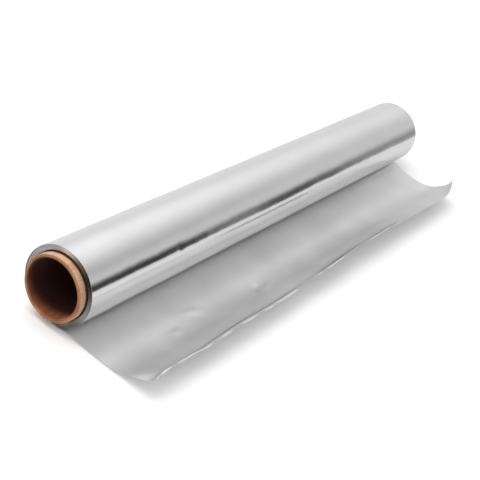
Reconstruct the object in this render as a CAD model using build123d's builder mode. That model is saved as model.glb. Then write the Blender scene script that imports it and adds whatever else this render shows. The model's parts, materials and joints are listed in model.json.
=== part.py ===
from build123d import *
import math
import os

# Household aluminium foil wound on a kraft paper core, lying on a table with its free end run out.
# Millimetres. X is along the roll, Z is up, and the free sheet points to -Y.
# The table is z = 0, and the origin is in the middle of the flat spot under the roll's axis.

# The core: a spiral-wound kraft paper tube that stands proud of the foil at both ends.
core_bore_diameter = 25.4
core_wall = 1.7
core_overhang = 3.7
core_rim_radius = 0.35

# The wound turns, with a hair of room round the core and a flat spot where they rest on the table.
foil_width = 300.0
winding_clearance = 0.1
wound_thickness = 2.9
flat_spot_width = 3.0

# The gaps between turns that show on both ends, drawn much coarser than real foil.
turn_count = 5
turn_gap_width = 0.2
turn_gap_depth = 0.3

# The free sheet: a run that lies on the table, then a curl and a tip that lift off it.
# It is drawn thicker than real foil so that it is a sound solid.
sheet_thickness = 0.3
sheet_flat_run = 30.0
curl_run = 13.0
tip_run = 12.7
curl_angle = 28.0
tip_angle = 11.0

# The far corner of the sheet springs up more steeply than the rest of its cut edge.
corner_length = 20.0
corner_curl_angle = 34.0
corner_tip_angle = 55.0

# Sizes that follow from the driving dimensions.
core_radius = core_bore_diameter / 2 + core_wall
core_length = foil_width + 2 * core_overhang
foil_bore_radius = core_radius + winding_clearance
roll_radius = foil_bore_radius + wound_thickness
axis_height = math.sqrt(roll_radius**2 - (flat_spot_width / 2) ** 2)
turn_pitch = wound_thickness / (turn_count + 1)
first_gap_radius = foil_bore_radius + (turn_pitch - turn_gap_width) / 2
near_end = -foil_width / 2
far_end = foil_width / 2
corner_start = far_end - corner_length


def across_roll(station):
    """Plane square to the roll's axis at x = station, centred on the axis, with u = +Y and v = +Z."""
    return Plane(origin=(station, 0, axis_height), x_dir=(0, 1, 0), z_dir=(1, 0, 0))


def across_sheet(station):
    """Plane square to the roll's axis at x = station, on the table, with u = -Y and v = +Z."""
    return Plane(origin=(station, 0, 0), x_dir=(0, -1, 0), z_dir=(-1, 0, 0))


def turn_gap(station):
    """Gap between the turns on one end: a band along a spiral of half circles about two centres."""
    with BuildSketch(across_roll(station)) as gap:
        with BuildLine():
            for half_turn in range(2 * turn_count):
                centre = (turn_pitch / 2 * (half_turn % 2), 0)
                radius = first_gap_radius + half_turn * turn_pitch / 2
                start_angle = 180 * (half_turn % 2)
                inner = CenterArc(centre, radius, start_angle, -180)
                outer = CenterArc(centre, radius + turn_gap_width, start_angle, -180)
                if half_turn == 0:
                    Line(inner @ 0, outer @ 0)
            Line(inner @ 1, outer @ 1)
        make_face()
    return gap.sketch


def lifted_section(station, first_angle, second_angle):
    """Section of the sheet where it lifts off the table: two tangent arcs, under and over."""
    curl_radius = curl_run / math.radians(first_angle)
    tip_radius = tip_run / math.radians(second_angle)
    with BuildSketch(across_sheet(station)) as section:
        with BuildLine():
            under_curl = JernArc((sheet_flat_run, 0), (1, 0), curl_radius, first_angle)
            under_tip = JernArc(under_curl @ 1, under_curl % 1, tip_radius, second_angle)
            over_start = (sheet_flat_run, sheet_thickness)
            over_curl = JernArc(over_start, (1, 0), curl_radius - sheet_thickness, first_angle)
            over_tip = JernArc(over_curl @ 1, over_curl % 1, tip_radius - sheet_thickness, second_angle)
            Line(under_curl @ 0, over_curl @ 0)
            Line(under_tip @ 1, over_tip @ 1)
        make_face()
    return section.sketch


# The core tube, cut square, with its paper rims a little worn.
with BuildPart() as core_tube:
    with BuildSketch(across_roll(-core_length / 2)):
        Circle(core_radius)
        Circle(core_bore_diameter / 2, mode=Mode.SUBTRACT)
    extrude(amount=core_length)
    fillet(core_tube.faces().filter_by(Axis.X).edges(), radius=core_rim_radius)

# The foil, one continuous sheet: the wound turns, and the free end that leaves under the roll.
with BuildPart() as foil:
    with BuildSketch(across_roll(near_end)):
        Circle(roll_radius)
    extrude(amount=foil_width)
    split(bisect_by=Plane.XY, keep=Keep.TOP)

    with BuildSketch(across_sheet(near_end)):
        Rectangle(sheet_flat_run, sheet_thickness, align=(Align.MIN, Align.MIN))
    extrude(amount=-foil_width)
    near_section = lifted_section(near_end, curl_angle, tip_angle)
    extrude(near_section, amount=near_end - corner_start)
    corner_sections = [
        lifted_section(corner_start, curl_angle, tip_angle),
        lifted_section(far_end, corner_curl_angle, corner_tip_angle),
    ]
    loft(corner_sections, ruled=True)

    with BuildSketch(across_roll(near_end)):
        Circle(foil_bore_radius)
    extrude(amount=foil_width, mode=Mode.SUBTRACT)
    extrude(turn_gap(near_end), amount=turn_gap_depth, mode=Mode.SUBTRACT)
    extrude(turn_gap(far_end), amount=-turn_gap_depth, mode=Mode.SUBTRACT)

core_tube.part.label = "core_tube"
foil.part.label = "foil"

os.makedirs("parts", exist_ok=True)
export_step(core_tube.part, "parts/core_tube.step")
export_step(foil.part, "parts/foil.step")
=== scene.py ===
"""A roll of household aluminium foil on a kraft paper core, its free end run out on a table."""

import json
import math

import bpy
import numpy as np
from mathutils import Matrix, Vector


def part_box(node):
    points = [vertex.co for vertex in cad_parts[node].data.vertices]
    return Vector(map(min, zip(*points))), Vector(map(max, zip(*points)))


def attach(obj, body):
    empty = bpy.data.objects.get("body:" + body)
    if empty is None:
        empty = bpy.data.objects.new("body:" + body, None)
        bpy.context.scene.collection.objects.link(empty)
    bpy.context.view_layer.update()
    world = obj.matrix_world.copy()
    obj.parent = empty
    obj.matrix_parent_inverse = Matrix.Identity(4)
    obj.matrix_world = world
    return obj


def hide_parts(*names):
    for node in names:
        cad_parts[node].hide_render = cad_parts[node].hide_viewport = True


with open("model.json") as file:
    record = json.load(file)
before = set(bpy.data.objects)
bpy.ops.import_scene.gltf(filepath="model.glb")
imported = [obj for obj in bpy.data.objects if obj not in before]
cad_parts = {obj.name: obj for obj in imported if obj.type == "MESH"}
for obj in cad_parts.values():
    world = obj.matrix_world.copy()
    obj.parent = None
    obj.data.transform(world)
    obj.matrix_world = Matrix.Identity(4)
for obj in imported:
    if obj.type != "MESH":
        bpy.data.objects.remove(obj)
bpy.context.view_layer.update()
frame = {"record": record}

# Core tube: strips of brown kraft paper, glued and wound in a spiral into a stiff tube, then cut square.
# The plies show on the cut ends, and the butt joints of the outer and inner strips run along the walls
# as fine spiral seams. The foil is wound straight onto it, so it stands proud at both ends.
MM = 0.001
bore_mount = next(mount for mount in frame["record"]["mounts"] if mount["name"] == "core_bore")
core_low, core_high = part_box("core_tube")
foil_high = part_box("foil")[1]
axis_height = (core_low.z + core_high.z) / 2
core_radius = (core_high.z - core_low.z) / 2
core_half = (core_high.x - core_low.x) / 2
bore_radius = bore_mount["dims"]["r_mm"] * MM
foil_half = foil_high.x
core_rim = 0.35 * MM
bore_rim = 0.6 * MM
bore_rim_depth = 0.6 * MM
ply_count = 6
ply_gap_width = 0.07 * MM
ply_gap_depth = 0.16 * MM
strip_pitch = 95 * MM
seam_width = 0.3 * MM
seam_depth = 0.18 * MM
fuzz_height = 0.035 * MM
fuzz_shortest = 0.9 * MM
fuzz_longest = 3.5 * MM
# Real kraft fibres are some hundredths of a millimetre wide and are drawn coarser, to show.
strip_fibre_length = 6 * MM
strip_fibre_width = 0.5 * MM
cut_fibre_length = 0.6 * MM
cut_fibre_width = 0.4 * MM
paper_cloud_size = 5 * MM
paper_bump = 0.06 * MM
# The paper is painted darker under the foil and deep in the bore, as painted shade of the gap beside the
# foil's ends and of the tube's inside, and fades to that over these lengths.
wall_shade_fade = 0.7 * MM
cut_shade_fade = 1.4 * MM
bore_shade_fade = 8 * MM
bore_shade_depth = 6 * MM
bore_shade_lean = 0.2
kraft_colour = "#DCB698"
kraft_dark_colour = "#C09274"
cut_paper_colour = "#B48863"
cut_paper_dark_colour = "#8A6243"
# The bore's paper is a darker, redder copy of the kraft, as painted shade of the tube's inside.
shaded_bore_colour = "#9E5E40"
shaded_bore_dark_colour = "#7E452E"
# Painted shade colours: deep in the bore, and on the wall under the foil and beside its ends.
bore_shade_colour = "#361409"
shaded_wall_colour = "#4A3324"


def linear(hex_colour):
    """Linear RGBA of an sRGB hex colour."""
    srgb = np.array([int(hex_colour[place : place + 2], 16) for place in (1, 3, 5)]) / 255
    rgb = np.where(srgb <= 0.04045, srgb / 12.92, ((srgb + 0.055) / 1.055) ** 2.4)
    return (*rgb.tolist(), 1.0)


def relief(places, seed, shortest, longest):
    """Soft random heights of about -1 to 1: the scaled sum of plane waves through 3-D places, with seeded
    directions, lengths from shortest to longest and phases."""
    waves = 24
    draw = np.random.default_rng(seed)
    directions = draw.normal(size=(waves, 3))
    directions /= np.linalg.norm(directions, axis=1, keepdims=True)
    lengths = draw.uniform(shortest, longest, (waves, 1))
    phases = draw.uniform(0, 2 * math.pi, waves)
    return np.sin(2 * math.pi * places @ (directions / lengths).T + phases).sum(-1) / math.sqrt(waves)


def grid_piece(name, points, closed_rows=False, closed_columns=False, capped=False):
    """Quads through a grid of points, row after row. A closed direction joins its last line to its first,
    and caps close the first and last rows of a tube."""
    rows, columns = points.shape[:2]
    index = np.arange(rows * columns).reshape(rows, columns)
    if closed_rows:
        index = np.vstack([index, index[:1]])
    if closed_columns:
        index = np.hstack([index, index[:, :1]])
    corners = [index[:-1, :-1], index[1:, :-1], index[1:, 1:], index[:-1, 1:]]
    faces = np.stack(corners, axis=-1).reshape(-1, 4).tolist()
    if capped:
        faces += [index[0, :columns].tolist(), index[rows - 1, :columns][::-1].tolist()]
    mesh = bpy.data.meshes.new(name)
    mesh.from_pydata(points.reshape(-1, 3).tolist(), [], faces)
    mesh.shade_smooth()
    piece = bpy.data.objects.new(name, mesh)
    bpy.context.scene.collection.objects.link(piece)
    return piece


def add(tree, kind, inputs, **settings):
    """Add one node: settings are its properties, and each input is a value or another node's output."""
    node = tree.nodes.new(kind)
    for name, value in settings.items():
        setattr(node, name, value)
    for name, value in inputs.items():
        if isinstance(value, bpy.types.NodeSocket):
            tree.links.new(value, node.inputs[name])
        else:
            node.inputs[name].default_value = value
    return node


def new_material(name):
    """A material with an empty tree and an output, as (material, tree, output)."""
    material = bpy.data.materials.new(name)
    material.use_nodes = True
    material.node_tree.nodes.clear()
    return material, material.node_tree, add(material.node_tree, "ShaderNodeOutputMaterial", {})


def core_surface():
    """A closed profile turned about the roll's axis: outer wall, rounded rim, cut face with a groove at
    each ply, rounded inner rim and bore. Every point is turned further round as it goes along the axis, so
    that a seam at a fixed place on the profile's circle runs along the walls as a helix, and a fuzz of soft
    random heights roughens the cut ends. It comes with a material number for each row of the grid: 0 on the
    outer wall, 1 on the cut face and 2 on the innermost ply."""
    rim_lines = 5
    face_lines = 37
    wall_lines = 241
    round_lines = 120
    quarter = np.linspace(0, math.pi / 2, rim_lines)[1:]
    face_radius = np.linspace(core_radius - core_rim, bore_radius + bore_rim, face_lines)[1:]
    from_ply = ((core_radius - face_radius) / (core_radius - bore_radius) * ply_count + 0.5) % 1 - 0.5
    ply_size = (core_radius - bore_radius) / ply_count
    face_depth = ply_gap_depth * np.exp(-((from_ply * ply_size / ply_gap_width) ** 2))
    outer_rim = core_radius - core_rim + core_rim * np.cos(quarter)
    inner_rim = bore_radius + bore_rim * (1 - np.sin(quarter))
    end_radius = np.concatenate([outer_rim, face_radius, inner_rim])
    outer_rim_depth = core_rim * (1 - np.sin(quarter))
    inner_rim_depth = bore_rim_depth * (1 - np.cos(quarter))
    end_depth = np.concatenate([outer_rim_depth, face_depth, inner_rim_depth])
    share = np.linspace(-1, 1, wall_lines)
    wall = share * (core_half - core_rim)
    bore_wall = -share * (core_half - bore_rim_depth)
    wall_radius = np.full(wall_lines, core_radius)
    bore_wall_radius = np.full(wall_lines, bore_radius)
    radius = np.concatenate([wall_radius, end_radius[:-1], bore_wall_radius, end_radius[-2::-1]])
    station = np.concatenate([wall, core_half - end_depth[:-1], bore_wall, end_depth[-2::-1] - core_half])
    on_outer = np.isclose(radius, core_radius)[:, None]
    on_bore = np.isclose(radius, bore_radius)[:, None]
    # The innermost ply shows from just inside the flat of the cut face.
    on_inner_ply = (radius < bore_radius + 0.99 * bore_rim)[:, None]
    turn = np.linspace(0, 2 * math.pi, round_lines, endpoint=False)[None, :]
    from_seam = core_radius * np.abs((turn + math.pi) % (2 * math.pi) - math.pi)
    seam = seam_depth * np.exp(-((from_seam / seam_width) ** 2))
    angle = turn + 2 * math.pi * station[:, None] / strip_pitch
    radius = radius[:, None] - seam * on_outer + seam * on_bore
    station = np.broadcast_to(station[:, None], angle.shape)
    points = np.stack([station, radius * np.cos(angle), axis_height + radius * np.sin(angle)], axis=-1)
    fuzz = fuzz_height * relief(points, seed=3, shortest=fuzz_shortest, longest=fuzz_longest)
    on_face = 1.0 - on_outer - on_bore
    points[..., 0] -= fuzz * on_face * np.sign(station)
    return points, np.where(on_inner_ply, 2, on_face)[:, 0].astype(np.int32)


def kraft_paper(
    name, colour, dark_colour, fibre_length, fibre_width, shade_colour, shade_end, shade_fade, shade_lean=0.0
):
    """Unbleached kraft paper: matt, with long brown fibres and cloudy patches that show as fine streaks.
    It goes over to the colour of a painted shade inside the given end place along the tube, over the given
    fade, and where the lean isn't 0 it does so sooner on the tube's upper back side and later on its lower
    front side."""
    material, tree, output = new_material(name)
    place = add(tree, "ShaderNodeTexCoord", {}).outputs["Object"]
    along_fibre = add(
        tree,
        "ShaderNodeMapping",
        {"Vector": place, "Scale": (1 / fibre_length, 1 / fibre_width, 1 / fibre_width)},
    )
    fibres = add(
        tree,
        "ShaderNodeTexNoise",
        {"Vector": along_fibre.outputs["Vector"], "Scale": 1.0, "Detail": 4.0},
    )
    clouds = add(
        tree,
        "ShaderNodeTexNoise",
        {"Vector": place, "Scale": 1 / paper_cloud_size, "Detail": 3.0},
    )
    mixed = add(
        tree,
        "ShaderNodeMath",
        {0: fibres.outputs["Fac"], 1: clouds.outputs["Fac"]},
        operation="ADD",
    )
    shade = add(
        tree,
        "ShaderNodeMapRange",
        {"Value": mixed.outputs["Value"], "From Min": 0.75, "From Max": 1.25},
    )
    tone = add(
        tree,
        "ShaderNodeMix",
        {"Factor": shade.outputs["Result"], "A": linear(dark_colour), "B": linear(colour)},
        data_type="RGBA",
    )
    along = add(tree, "ShaderNodeSeparateXYZ", {"Vector": place}).outputs["X"]
    from_middle = add(tree, "ShaderNodeMath", {0: along}, operation="ABSOLUTE").outputs["Value"]
    from_axis = add(
        tree,
        "ShaderNodeVectorMath",
        {0: place, 1: (0, 0, axis_height)},
        operation="SUBTRACT",
    )
    lean = add(
        tree,
        "ShaderNodeVectorMath",
        {0: from_axis.outputs["Vector"], 1: (0, shade_lean, shade_lean)},
        operation="DOT_PRODUCT",
    )
    toward_end = add(
        tree,
        "ShaderNodeMath",
        {0: from_middle, 1: lean.outputs["Value"]},
        operation="SUBTRACT",
    )
    # Painted shade: the paper goes over to the shade colour further in from the tube's end.
    shade_share = add(
        tree,
        "ShaderNodeMapRange",
        {
            "Value": toward_end.outputs["Value"],
            "From Min": shade_end,
            "From Max": shade_end + shade_fade,
            "To Min": 1.0,
            "To Max": 0.0,
        },
        interpolation_type="SMOOTHSTEP",
    )
    paper_tone = add(
        tree,
        "ShaderNodeMix",
        {"Factor": shade_share.outputs["Result"], "A": tone.outputs[2], "B": linear(shade_colour)},
        data_type="RGBA",
    )
    bump = add(
        tree,
        "ShaderNodeBump",
        {"Height": mixed.outputs["Value"], "Strength": 0.5, "Distance": paper_bump},
    )
    shader = add(
        tree,
        "ShaderNodeBsdfPrincipled",
        {
            "Base Color": paper_tone.outputs[2],
            "Roughness": 0.85,
            "IOR": 1.45,
            "Normal": bump.outputs["Normal"],
        },
    )
    tree.links.new(shader.outputs["BSDF"], output.inputs["Surface"])
    return material


core_points, core_row_materials = core_surface()
core = grid_piece("core_spiral_tube", core_points, closed_rows=True, closed_columns=True)
# The wall is painted darker just beyond the foil's ends, as painted shade of the gap between core and foil.
wall_paper = kraft_paper(
    "kraft_paper_wall",
    kraft_colour,
    kraft_dark_colour,
    strip_fibre_length,
    strip_fibre_width,
    shade_colour=shaded_wall_colour,
    shade_end=foil_half,
    shade_fade=wall_shade_fade,
)
# The cut paper is set to go darker, as painted shade, within the given fade of the foil's ends.
cut_paper = kraft_paper(
    "kraft_paper_cut_edge",
    cut_paper_colour,
    cut_paper_dark_colour,
    cut_fibre_length,
    cut_fibre_width,
    shade_colour=cut_paper_dark_colour,
    shade_end=foil_half,
    shade_fade=cut_shade_fade,
)
# The bore is painted darker further in, and sooner on its upper back side, as painted shade of the tube's
# inside.
bore_paper = kraft_paper(
    "kraft_paper_bore",
    shaded_bore_colour,
    shaded_bore_dark_colour,
    strip_fibre_length,
    strip_fibre_width,
    shade_colour=bore_shade_colour,
    shade_end=core_half - bore_shade_depth,
    shade_fade=bore_shade_fade,
    shade_lean=bore_shade_lean,
)
core.data.materials.append(wall_paper)
core.data.materials.append(cut_paper)
core.data.materials.append(bore_paper)
core.data.polygons.foreach_set("material_index", np.repeat(core_row_materials, core_points.shape[1]))
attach(core, "root")
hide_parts("core_tube")

# Wound turns: the same foil as the free sheet, wound tight round the core from its first turn to the one
# below the outermost. Only their slit edges show, as a bright spiral on each end that never runs quite
# true and lies deeper beside the core and under the outermost turn.
roll_radius = foil_high.z - axis_height
# Real foil is about 0.012 mm thick, in some 240 turns. It is drawn thicker, in fewer turns, to show.
foil_gauge = 0.05 * MM
shown_turns = 12
turn_fill = 0.72
first_turn_radius = core_radius + 0.3 * MM
last_turn_radius = roll_radius - 2.5 * foil_gauge
edge_set_back = 0.3 * MM
core_gap_depth = 1.5 * MM
core_gap_width = 0.3 * MM
rim_gap_depth = 0.5 * MM
rim_gap_width = 0.25 * MM
edge_wander = 0.14 * MM
wander_shortest = 40 * MM
wander_longest = 160 * MM
# Rolling oil dulls the slit edges by this share. At a few places round the axis a painted shade darkens
# them
# # further and a painted highlight lightens them, each given as its middle and half length in degrees and
# the
# # share that it adds.
edge_film = 0.5
painted_light_patches = [(90, 14, -0.5), (140, 26, 0.47), (224, 22, 0.36)]
# Real mill lines are some hundredths of a millimetre wide and are drawn coarser, to show.
mill_line_width = 0.5 * MM
mill_line_length = 60 * MM
mill_line_depth = 0.02 * MM
bright_foil_colour = "#F3F3F3"
bright_foil_haze = "#F0F0F0"
matt_foil_colour = "#ECECEC"
matt_foil_haze = "#E4E4E4"
slit_foil_colour = "#F0F0F0"
slit_foil_haze = "#E0E0E0"
# The dark grey that the oil film and painted shade take the foil over to.
film_and_shade_foil_colour = "#4A4A4A"


def turns_surface():
    """A flat band carried along a spiral about the roll's axis, from the outermost turn inwards. Its slit
    edges are set back from the roll's ends, further at the first turn and the last, and stand in or out of
    line by a soft random amount that changes along the band. It comes with the share of oil film and
    painted shade at each point, which changes with the angle about the axis where shade and a highlight are
    painted."""
    lines_per_turn = 180
    pitch = (last_turn_radius - first_turn_radius) / shown_turns
    turn = np.linspace(0, shown_turns - 1 + turn_fill / 2, lines_per_turn * shown_turns)
    angle = -math.pi / 2 + 2 * math.pi * turn
    radius = last_turn_radius - pitch * turn
    along = np.stack([turn * 2 * math.pi * roll_radius, 0 * turn, 0 * turn], axis=-1)
    from_core = radius - first_turn_radius
    from_rim = last_turn_radius - radius
    set_back = edge_set_back + core_gap_depth * np.exp(-((from_core / core_gap_width) ** 2))
    set_back = set_back + rim_gap_depth * np.exp(-((from_rim / rim_gap_width) ** 2))
    near_wander = edge_wander * relief(along, seed=11, shortest=wander_shortest, longest=wander_longest)
    far_wander = edge_wander * relief(along, seed=12, shortest=wander_shortest, longest=wander_longest)
    near = -foil_half + set_back + near_wander
    far = foil_half - set_back + far_wander
    under_radius = radius - turn_fill * pitch
    band_radius = np.stack([under_radius, radius, radius, under_radius], axis=1)
    band_x = np.stack([near, near, far, far], axis=1)
    y = band_radius * np.cos(angle)[:, None]
    z = axis_height + band_radius * np.sin(angle)[:, None]
    # Oil film all round, plus painted shade and a painted highlight at given angles about the axis.
    film_and_painted_light = np.full_like(turn, edge_film)
    for patch_middle, patch_half, patch_share in painted_light_patches:
        from_patch = np.degrees(angle) % 360 - patch_middle
        film_and_painted_light = film_and_painted_light + patch_share * np.exp(-((from_patch / patch_half) ** 2))
    return np.stack([band_x, y, z], axis=-1), np.broadcast_to(film_and_painted_light[:, None], y.shape)


def rolled_foil(name, colour, haze_colour, haze_size, haze_seed, edge_tint, roughness, streak_contrast):
    """Rolled aluminium foil: the mill leaves fine lines along the sheet, which spread its gloss a little
    across them, and its rolling oil leaves duller patches. A share per point, which holds painted shade at
    sharp bends of the sheet, the oil film on the slit edges and painted shade and a painted highlight at
    places round them, takes it over to a dark grey."""
    material, tree, output = new_material(name)
    flat = add(tree, "ShaderNodeUVMap", {}, uv_map="flat_sheet").outputs["UV"]
    lines_place = add(
        tree,
        "ShaderNodeMapping",
        {"Vector": flat, "Scale": (1 / mill_line_width, 1 / mill_line_length, 1.0)},
    )
    lines = add(
        tree,
        "ShaderNodeTexNoise",
        {"Vector": lines_place.outputs["Vector"], "Scale": 1.0, "Detail": 3.0},
    )
    place = add(tree, "ShaderNodeTexCoord", {}).outputs["Object"]
    haze = add(
        tree,
        "ShaderNodeTexNoise",
        {"Vector": place, "W": haze_seed, "Scale": 1 / haze_size, "Detail": 2.0},
        noise_dimensions="4D",
    )
    patches = add(
        tree,
        "ShaderNodeMapRange",
        {"Value": haze.outputs["Fac"], "From Min": 0.35, "From Max": 0.65},
    )
    tone = add(
        tree,
        "ShaderNodeMix",
        {"Factor": patches.outputs["Result"], "A": linear(haze_colour), "B": linear(colour)},
        data_type="RGBA",
    )
    # Painted shade and highlight, with the oil film, come from the mesh as a share towards dark grey.
    dulling_and_painted_light = add(tree, "ShaderNodeAttribute", {}, attribute_name="dulling_and_painted_light")
    dulling_and_painted_light_tone = add(
        tree,
        "ShaderNodeMix",
        {"Factor": dulling_and_painted_light.outputs["Fac"], "A": tone.outputs[2], "B": linear(film_and_shade_foil_colour)},
        data_type="RGBA",
    )
    gloss = add(
        tree,
        "ShaderNodeMapRange",
        {
            "Value": lines.outputs["Fac"],
            "From Min": 0.3,
            "From Max": 0.7,
            "To Min": roughness * (1 - streak_contrast),
            "To Max": roughness * (1 + streak_contrast),
        },
    )
    bump = add(
        tree,
        "ShaderNodeBump",
        {"Height": lines.outputs["Fac"], "Strength": 0.15, "Distance": mill_line_depth},
    )
    shader = add(
        tree,
        "ShaderNodeBsdfPrincipled",
        {
            "Base Color": dulling_and_painted_light_tone.outputs[2],
            "Metallic": 1.0,
            "Roughness": gloss.outputs["Result"],
            "Specular Tint": (edge_tint, edge_tint, edge_tint, 1),
            "Normal": bump.outputs["Normal"],
        },
    )
    tree.links.new(shader.outputs["BSDF"], output.inputs["Surface"])
    return material


def flatten(piece, across, along):
    """Give a grid piece a UV map in metres of flat foil: across its width and along its length."""
    layer = piece.data.uv_layers.new(name="flat_sheet")
    corner = np.empty(len(piece.data.loops), np.int32)
    piece.data.loops.foreach_get("vertex_index", corner)
    flat = np.stack([across.ravel(), along.ravel()], axis=-1)
    layer.data.foreach_set("uv", flat[corner].ravel())


bright_foil = rolled_foil(
    "foil_bright_side",
    bright_foil_colour,
    bright_foil_haze,
    haze_size=30 * MM,
    haze_seed=1.0,
    edge_tint=0.95,
    roughness=0.14,
    streak_contrast=0.25,
)
slit_foil = rolled_foil(
    "foil_slit_edges",
    slit_foil_colour,
    slit_foil_haze,
    haze_size=12 * MM,
    haze_seed=14.6,
    edge_tint=0.78,
    roughness=0.45,
    streak_contrast=0.2,
)
matt_foil = rolled_foil(
    "foil_matt_side",
    matt_foil_colour,
    matt_foil_haze,
    haze_size=25 * MM,
    haze_seed=2.0,
    edge_tint=0.95,
    roughness=0.46,
    streak_contrast=0.10,
)
turns_points, turns_film_and_painted_light = turns_surface()
turns = grid_piece("foil_wound_turns", turns_points, closed_columns=True, capped=True)
turns.data.shade_flat()
turns.data.materials.append(slit_foil)
turns_along = np.broadcast_to(np.linspace(0, 1, len(turns_points))[:, None], turns_points.shape[:2])
flatten(turns, turns_points[..., 0], turns_along * shown_turns * 2 * math.pi * roll_radius)
# The slit edges carry their oil film, painted shade and painted highlight as a share per point.
turns.data.attributes.new("dulling_and_painted_light", "FLOAT", "POINT").data.foreach_set("value", turns_film_and_painted_light.ravel())
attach(turns, "root")
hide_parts("foil")

# Outermost turn and free sheet: one stretch of the foil, bright side out, that goes once round the roll,
# leaves under it, lies on the table and springs up towards its cut edge. Its matt side faces up there.
# The cut is ragged, one corner is folded over a crease and the other curls up.
free_length = 55.7 * MM
lying_length = 30.0 * MM
curl_length = 13.0 * MM
tip_length = free_length - lying_length - curl_length
gauges_a_turn = 1.2
# The slope, in degrees, that the curl and the tip each add, and what full spring adds to that.
curl_angle = 27
curl_spring_angle = 13
tip_angle = 4.5
tip_spring_angle = 78
# Spring is low all along the sheet, higher about one place, and nearly full at the far corner.
low_spring = 0.10
middle_spring = 0.20
middle_spring_place = 40 * MM
middle_spring_half = 45 * MM
corner_spring = 0.97
corner_stretch = (126 * MM, 152 * MM)
# The blade tilts the edge up and leaves a burr along the cut, both of which end before the far corner.
edge_angle = 18
edge_tilt_length = 4.5 * MM
burr_angle = 8
burr_length = 0.6 * MM
burr_bend = 0.2 * MM
burr_end_stretch = (66 * MM, 84 * MM)
cut_wander = 0.12 * MM
cut_wander_length = 3 * MM
# There is no burr at these places along the cut, each given as its middle and its half length.
burr_gaps = [
    (-146.5 * MM, 1.0 * MM),
    (-137 * MM, 1.2 * MM),
    (-107 * MM, 4.0 * MM),
    (-91.5 * MM, 4.0 * MM),
    (-72.5 * MM, 3.5 * MM),
    (-60.3 * MM, 1.5 * MM),
    (-30.5 * MM, 9.5 * MM),
    (-14 * MM, 2.0 * MM),
    (21 * MM, 14 * MM),
    (47 * MM, 1.2 * MM),
    (60 * MM, 2.0 * MM),
]
burr_gap_blur = 0.8 * MM
# A lip along part of the cut is bent down.
lip_angle = 22
lip_length = 2.4 * MM
lip_bend_before = 0.2 * MM
lip_bend_after = 0.3 * MM
lip_near_stretch = (-122 * MM, -112 * MM)
lip_far_stretch = (-46 * MM, -34 * MM)
# The near corner is bent down past a fold, which is square to this direction across and along the sheet.
fold_direction = (-0.793, 0.61)
fold_start = 44 * MM
fold_width = 0.6 * MM
fold_angle = 13
# Waves and ripples raise the sheet where it is free, and are shallower where it is held on the roll. Beside
# the roll it bulges, and more so towards the far end.
lift_stretch = (4 * MM, 14 * MM)
sheet_wave = 0.22 * MM
sheet_ripple = 0.03 * MM
roll_wave = 0.05 * MM
roll_ripple = 0.012 * MM
bulge_height = 1.0 * MM
bulge_gain = 1.2
bulge_stretch = (85 * MM, 135 * MM)
bulge_place = 11 * MM
bulge_half = 6 * MM
# Each crease is its place across and along the sheet, its turn, and its length, width and height.
sheet_creases = [
    (-88 * MM, 29.6 * MM, 0.3, 4.0 * MM, 1.6 * MM, 0.40 * MM),
    (-106 * MM, 34.4 * MM, -0.2, 3.0 * MM, 1.5 * MM, 0.32 * MM),
    (-45 * MM, 35.8 * MM, -0.5, 3.0 * MM, 1.6 * MM, -0.45 * MM),
    (-40 * MM, 39.0 * MM, -0.5, 3.5 * MM, 1.6 * MM, 0.35 * MM),
    (-91 * MM, -73.5 * MM, 1.1, 3.0 * MM, 1.2 * MM, 0.10 * MM),
    (-15 * MM, -79 * MM, 0.0, 45 * MM, 6 * MM, -0.18 * MM),
]
# The foil is darkened by these shares of painted shade where the edge bends up along its far part, and at
# the bend of the lip.
bend_painted_shade = 0.9
bend_stretch = (-25 * MM, 10 * MM)
bend_length = 8 * MM
lip_painted_shade = 0.7
lip_painted_shade_half = 0.4 * MM


def smooth(value, start, end):
    """0 before start and 1 after end, with an even S between them."""
    share = np.clip((value - start) / (end - start), 0, 1)
    return share * share * (3 - 2 * share)


def sheet_grid():
    """Width x and flat length s of each point of the sheet, where s = 0 is under the roll and s grows
    towards the cut edge. The lines stand closer towards the cut, and the outermost ones a hair apart, to
    keep the edges crisp."""
    across_lines = 239
    round_lines = 91
    lying_lines = 36
    tip_lines = 10
    edge_lines = 17
    hair = 0.04 * MM
    tip_start = free_length - 7 * MM
    edge_start = free_length - 3.2 * MM
    inner_edge = foil_half - hair
    inner_lines = np.linspace(inner_edge, -inner_edge, across_lines)
    across = np.concatenate([[foil_half], inner_lines, [-foil_half]])
    round_roll = np.linspace(-2 * math.pi * roll_radius, 0, round_lines)[:-1]
    lying = np.linspace(0, tip_start, lying_lines)[:-1]
    tip = np.linspace(tip_start, edge_start, tip_lines)[:-1]
    edge = np.linspace(edge_start, free_length - hair, edge_lines)
    return np.meshgrid(across, np.concatenate([round_roll, lying, tip, edge, [free_length]]))


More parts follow.
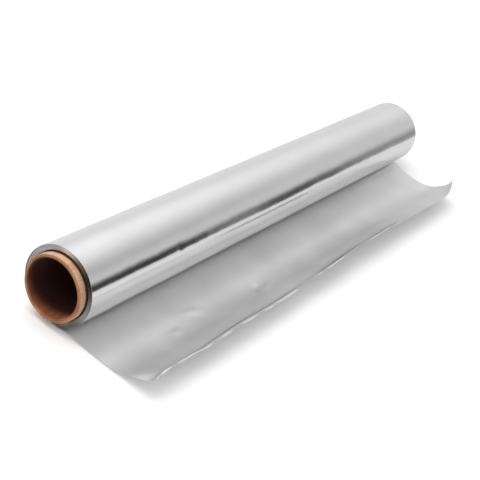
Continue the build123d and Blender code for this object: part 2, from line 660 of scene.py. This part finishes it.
def sheet_surface():
    """Sheet over width x and flat length s. Below s = 0 it goes round the roll on a radius that shrinks by
    a little over one gauge a turn. Above 0 its slope is 0 while it lies on the table and grows through the
    curl and the tip, and near the cut it changes again for the tilted edge, the lip and the burr. Its
    place is the sum of the steps along that slope. Waves, the bulge, creases and the folded corner are
    heights along the normal, which points to the axis on the roll and up off the table. It comes with x,
    s and the share of painted shade that darkens the foil at sharp bends."""
    x, s = sheet_grid()
    on_roll = s < 0
    flat_place = np.stack([x, s, 0 * x], axis=-1)

    spring = low_spring + middle_spring * np.exp(-(((x - middle_spring_place) / middle_spring_half) ** 2))
    spring = spring + (corner_spring - spring) * smooth(x, *corner_stretch) ** 2
    curl_share = np.clip((s - lying_length) / curl_length, 0, 1)
    tip_share = np.clip((s - lying_length - curl_length) / tip_length, 0, 1)
    slope = np.radians(curl_angle + curl_spring_angle * spring) * curl_share
    slope = slope + np.radians(tip_angle + tip_spring_angle * spring) * tip_share**2

    before_far_corner = 1 - smooth(x, *burr_end_stretch)
    burr = before_far_corner
    for gap_middle, gap_half in burr_gaps:
        from_gap = np.abs(x - gap_middle)
        burr = burr * smooth(from_gap, gap_half - burr_gap_blur, gap_half + burr_gap_blur)
    burr_start = free_length - burr_length
    lip = smooth(x, *lip_near_stretch) * (1 - smooth(x, *lip_far_stretch))
    lip_start = free_length - lip_length
    past_tilt = smooth(s, burr_start - edge_tilt_length, burr_start)
    past_lip = smooth(s, lip_start - lip_bend_before, lip_start + lip_bend_after)
    past_burr = smooth(s, burr_start - burr_bend, burr_start + burr_bend)
    slope = slope + np.radians(edge_angle) * before_far_corner * past_tilt
    slope = slope - np.radians(lip_angle) * lip * past_lip
    slope = slope + (np.radians(burr_angle) - slope) * burr * past_burr
    edge_place = flat_place[-1:] * np.array([1, 0, 0])
    ragged = cut_wander * relief(edge_place, seed=21, shortest=4 * MM, longest=16 * MM)
    length = s + ragged * smooth(s, free_length - cut_wander_length, free_length)
    step = np.diff(length, axis=0, prepend=length[:1])
    y = -np.cumsum(np.where(on_roll, 0, step * np.cos(slope)), axis=0)
    z = np.cumsum(np.where(on_roll, 0, step * np.sin(slope)), axis=0)

    turned = np.clip(-s, 0, None) / roll_radius
    radius = roll_radius - foil_gauge * turned / (2 * math.pi) * gauges_a_turn
    y = np.where(on_roll, radius * np.sin(turned), y)
    z = np.where(on_roll, axis_height - radius * np.cos(turned), z)
    normal_y = np.where(on_roll, -np.sin(turned), np.sin(slope))
    normal_z = np.where(on_roll, np.cos(turned), np.cos(slope))

    lifted = smooth(s, *lift_stretch)
    height = sheet_wave * (1 + relief(flat_place, seed=22, shortest=28 * MM, longest=70 * MM)) * lifted
    height = height + sheet_ripple * relief(flat_place, seed=25, shortest=7 * MM, longest=20 * MM) * lifted
    bulge = bulge_height * (1.0 + bulge_gain * smooth(x, *bulge_stretch))
    height = height + bulge * np.exp(-(((s - bulge_place) / bulge_half) ** 2)) * (s > 0)
    held = 1 - lifted
    height = height - roll_wave * relief(flat_place, seed=23, shortest=22 * MM, longest=60 * MM) * held
    height = height - roll_ripple * relief(flat_place, seed=26, shortest=4 * MM, longest=10 * MM) * held
    for crease_x, crease_s, crease_turn, crease_length, crease_width, crease_height in sheet_creases:
        along = (x - crease_x) * math.cos(crease_turn) + (s - crease_s) * math.sin(crease_turn)
        beside = (s - crease_s) * math.cos(crease_turn) - (x - crease_x) * math.sin(crease_turn)
        crease = np.exp(-((along / crease_length) ** 2) - (beside / crease_width) ** 2)
        height = height + crease_height * crease
    past_fold = fold_direction[0] * (x + foil_half) + fold_direction[1] * (s - fold_start)
    fold_drop = math.tan(math.radians(fold_angle)) * fold_width
    height = height - fold_drop * np.logaddexp(0, past_fold / fold_width)
    y = y + height * normal_y
    z = np.maximum(z + height * normal_z, 0)

    # Painted shade: the foil is darkened where the edge bends up along its far part and at the bend of the
    # lip.
    before_burr = 1 - smooth(s, burr_start - burr_bend, burr_start)
    past_bend = smooth(s, free_length - bend_length, free_length)
    bent_edge = smooth(x, *bend_stretch) * before_far_corner * past_bend
    bent_lip = lip * np.exp(-(((s - lip_start) / lip_painted_shade_half) ** 2))
    dulling_and_painted_light = before_burr * np.maximum(bend_painted_shade * bent_edge, lip_painted_shade * bent_lip)
    return np.stack([x, y, z], axis=-1), x, s, dulling_and_painted_light


sheet_points, sheet_across, sheet_along, sheet_painted_shade = sheet_surface()
sheet = grid_piece("foil_free_sheet", sheet_points)
flatten(sheet, sheet_across, sheet_along)
# The sheet carries its painted shade at the bends of the cut as a share per point.
sheet.data.attributes.new("dulling_and_painted_light", "FLOAT", "POINT").data.foreach_set("value", sheet_painted_shade.ravel())
sheet.data.materials.append(bright_foil)
sheet.data.materials.append(matt_foil)
gauge = sheet.modifiers.new("gauge", "SOLIDIFY")
gauge.thickness = foil_gauge
gauge.offset = -1
gauge.material_offset = 1
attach(sheet, "root")
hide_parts("foil")

# Table: a plain white surface under the roll, wide enough to fill the view from any side. It is stage, and
# no part of the object.
table_half = 6.0
table_colour = "#FDFDFD"


def flat_card(name, corners):
    """One four-sided face, linked into the scene."""
    mesh = bpy.data.meshes.new(name)
    mesh.from_pydata(corners, [], [(0, 1, 2, 3)])
    card = bpy.data.objects.new(name, mesh)
    bpy.context.scene.collection.objects.link(card)
    return card


table = flat_card(
    "table",
    [
        (-table_half, -table_half, 0),
        (table_half, -table_half, 0),
        (table_half, table_half, 0),
        (-table_half, table_half, 0),
    ],
)
table_material, table_tree, table_output = new_material("white_table")
table_shader = add(table_tree, "ShaderNodeBsdfDiffuse", {"Color": linear(table_colour)})
table_tree.links.new(table_shader.outputs["BSDF"], table_output.inputs["Surface"])
table.data.materials.append(table_material)

# Black card and nets: a card of black cloth stands beyond the far end, out of view, and the roll reflects
# it as the dark line along its side. Nets of black thread stand low in front and behind and lie on the
# table at the far end, and dim the white table in the foil's first reflection.
black_cloth_colour = "#272727"
card_foot = [(0.39, 0.0), (0.55, -0.9)]
card_top = [0.05, 0.445]
# The card's cloth is thinner at its inner side and at one place along it, as (share of its length, cover),
# and thins out between these shares of its height.
card_thickness = [
    (0, 0.2), (0.25, 0.57), (0.31, 0.93), (0.385, 0.93), (0.43, 0.45), (0.49, 0.9), (0.53, 1.0),
]
card_thin_start = 0.38
card_thin_end = 0.95
net_cover = 0.33
net_near_end = -160 * MM
net_far_end = 360 * MM
net_front = -66 * MM
net_back = 22 * MM
net_front_top = 25 * MM
net_back_top = 32.5 * MM
floor_net_start = foil_half + 0.5 * MM
floor_net_height = 0.5 * MM


def set_levels(ramp, stops):
    """Give a colour ramp grey levels, by a list of (place, level)."""
    while len(ramp.elements) < len(stops):
        ramp.elements.new(0.5)
    for element, (place, level) in zip(ramp.elements, stops):
        element.position = place
        element.color = (level, level, level, 1)


def black_cloth(card, tree, output, cover):
    """Black cloth that hides a share, given by cover, of what is behind it, in reflections alone."""
    shader = add(
        tree,
        "ShaderNodeMixShader",
        {
            0: cover,
            1: add(tree, "ShaderNodeBsdfTransparent", {}).outputs["BSDF"],
            2: add(tree, "ShaderNodeBsdfDiffuse", {"Color": linear(black_cloth_colour)}).outputs["BSDF"],
        },
    )
    tree.links.new(shader.outputs["Shader"], output.inputs["Surface"])
    card.visible_camera = False
    card.visible_diffuse = False
    card.visible_shadow = False


black_card = flat_card(
    "black_card",
    [(*card_foot[1], 0), (*card_foot[0], 0), (*card_foot[0], card_top[0]), (*card_foot[1], card_top[1])],
)
card_material, card_tree, card_output = new_material("black_card")
card_place = add(
    card_tree,
    "ShaderNodeSeparateXYZ",
    {"Vector": add(card_tree, "ShaderNodeTexCoord", {}).outputs["Object"]},
)
card_along = add(
    card_tree,
    "ShaderNodeMapRange",
    {"Value": card_place.outputs["Y"], "From Min": card_foot[0][1], "From Max": card_foot[1][1]},
)
card_height = add(
    card_tree,
    "ShaderNodeMapRange",
    {"Value": card_along.outputs["Result"], "To Min": card_top[0], "To Max": card_top[1]},
)
card_share = add(
    card_tree,
    "ShaderNodeMath",
    {0: card_place.outputs["Z"], 1: card_height.outputs["Result"]},
    operation="DIVIDE",
)
card_below_top = add(
    card_tree,
    "ShaderNodeMapRange",
    {
        "Value": card_share.outputs["Value"],
        "From Min": card_thin_start,
        "From Max": card_thin_end,
        "To Min": 1.0,
        "To Max": 0.0,
    },
    interpolation_type="SMOOTHSTEP",
)
card_cloth = add(card_tree, "ShaderNodeValToRGB", {"Fac": card_along.outputs["Result"]})
set_levels(card_cloth.color_ramp, card_thickness)
card_cover = add(
    card_tree,
    "ShaderNodeMath",
    {0: card_below_top.outputs["Result"], 1: card_cloth.outputs["Color"]},
    operation="MULTIPLY",
)
black_cloth(black_card, card_tree, card_output, card_cover.outputs["Value"])
black_card.data.materials.append(card_material)

net_corners = {
    "black_net_front": [
        (net_near_end, net_front, 0),
        (net_far_end, net_front, 0),
        (net_far_end, net_front, net_front_top),
        (net_near_end, net_front, net_front_top),
    ],
    "black_net_back": [
        (net_near_end, net_back, 0),
        (net_far_end, net_back, 0),
        (net_far_end, net_back, net_back_top),
        (net_near_end, net_back, net_back_top),
    ],
    "black_net_floor": [
        (floor_net_start, net_front, floor_net_height),
        (net_far_end, net_front, floor_net_height),
        (net_far_end, net_back, floor_net_height),
        (floor_net_start, net_back, floor_net_height),
    ],
}
for net_name, corners in net_corners.items():
    net = flat_card(net_name, corners)
    net_material, net_tree, net_output = new_material(net_name)
    net_shown = add(
        net_tree,
        "ShaderNodeMapRange",
        {
            "Value": add(net_tree, "ShaderNodeLightPath", {}).outputs["Glossy Depth"],
            "From Min": 1.0,
            "From Max": 2.0,
            "To Min": net_cover,
            "To Max": 0.0,
        },
    )
    black_cloth(net, net_tree, net_output, net_shown.outputs["Result"])
    net.data.materials.append(net_material)

# Studio light: a white room that is brighter overhead, at the back and towards the near end, plus a soft
# lamp above and behind for the shadow. Each level goes with the sine of a height above the horizon.
front_levels = [
    (0, 0.5), (0.2, 0.5), (0.29, 0.59), (0.36, 0.565), (0.44, 0.52), (0.53, 0.435), (0.65, 0.47), (1, 0.96),
]
back_levels = [(0, 0.77), (0.25, 0.77), (0.4, 0.86), (0.6, 1.06), (1, 1.26)]
world = bpy.data.worlds.new("studio")
bpy.context.scene.world = world
world.use_nodes = True
world.node_tree.nodes.clear()
room = world.node_tree
toward = add(
    room,
    "ShaderNodeSeparateXYZ",
    {"Vector": add(room, "ShaderNodeTexCoord", {}).outputs["Generated"]},
)
room_front = add(room, "ShaderNodeValToRGB", {"Fac": toward.outputs["Z"]})
room_back = add(room, "ShaderNodeValToRGB", {"Fac": toward.outputs["Z"]})
set_levels(room_front.color_ramp, front_levels)
set_levels(room_back.color_ramp, back_levels)
backward = add(
    room,
    "ShaderNodeMapRange",
    {"Value": toward.outputs["Y"], "From Min": -0.6, "From Max": 0.6},
    interpolation_type="SMOOTHSTEP",
)
graded = add(
    room,
    "ShaderNodeMix",
    {
        "Factor": backward.outputs["Result"],
        "A": room_front.outputs["Color"],
        "B": room_back.outputs["Color"],
    },
    data_type="RGBA",
)
nearby = add(
    room,
    "ShaderNodeMapRange",
    {"Value": toward.outputs["X"], "From Min": -0.8, "From Max": 0.1, "To Min": 1.5, "To Max": 1.0},
)
lit_room = add(
    room,
    "ShaderNodeBackground",
    {"Color": graded.outputs[2], "Strength": nearby.outputs["Result"]},
)
add(room, "ShaderNodeOutputWorld", {"Surface": lit_room.outputs["Background"]})

lamp_data = bpy.data.lights.new("soft_lamp", "AREA")
lamp_data.shape = "DISK"
lamp_data.size = 1.2
lamp_data.energy = 6.2
lamp = bpy.data.objects.new("soft_lamp", lamp_data)
lamp.location = (-0.3, 0.48, 1.2)
lamp.rotation_euler = Vector(lamp.location).to_track_quat("Z", "Y").to_euler()
lamp.visible_glossy = False
bpy.context.scene.collection.objects.link(lamp)

# Camera: above and in front of the near end, turned on its own axis so that the roll runs up the picture.
camera_place = (-0.47128, -0.19566, 0.28882)
camera_azimuth = math.radians(-67.605)
camera_elevation = math.radians(30.493)
camera_turn = math.radians(23.571)
camera_data = bpy.data.cameras.new("camera")
camera_data.sensor_width = 36.0
camera_data.lens = 87.15
camera = bpy.data.objects.new("camera", camera_data)
camera.matrix_world = (
    Matrix.Translation(camera_place)
    @ Matrix.Rotation(camera_azimuth, 4, "Z")
    @ Matrix.Rotation(math.pi / 2 - camera_elevation, 4, "X")
    @ Matrix.Rotation(camera_turn, 4, "Z")
)
bpy.context.scene.collection.objects.link(camera)
bpy.context.scene.camera = camera
bpy.context.scene.view_settings.view_transform = "Standard"
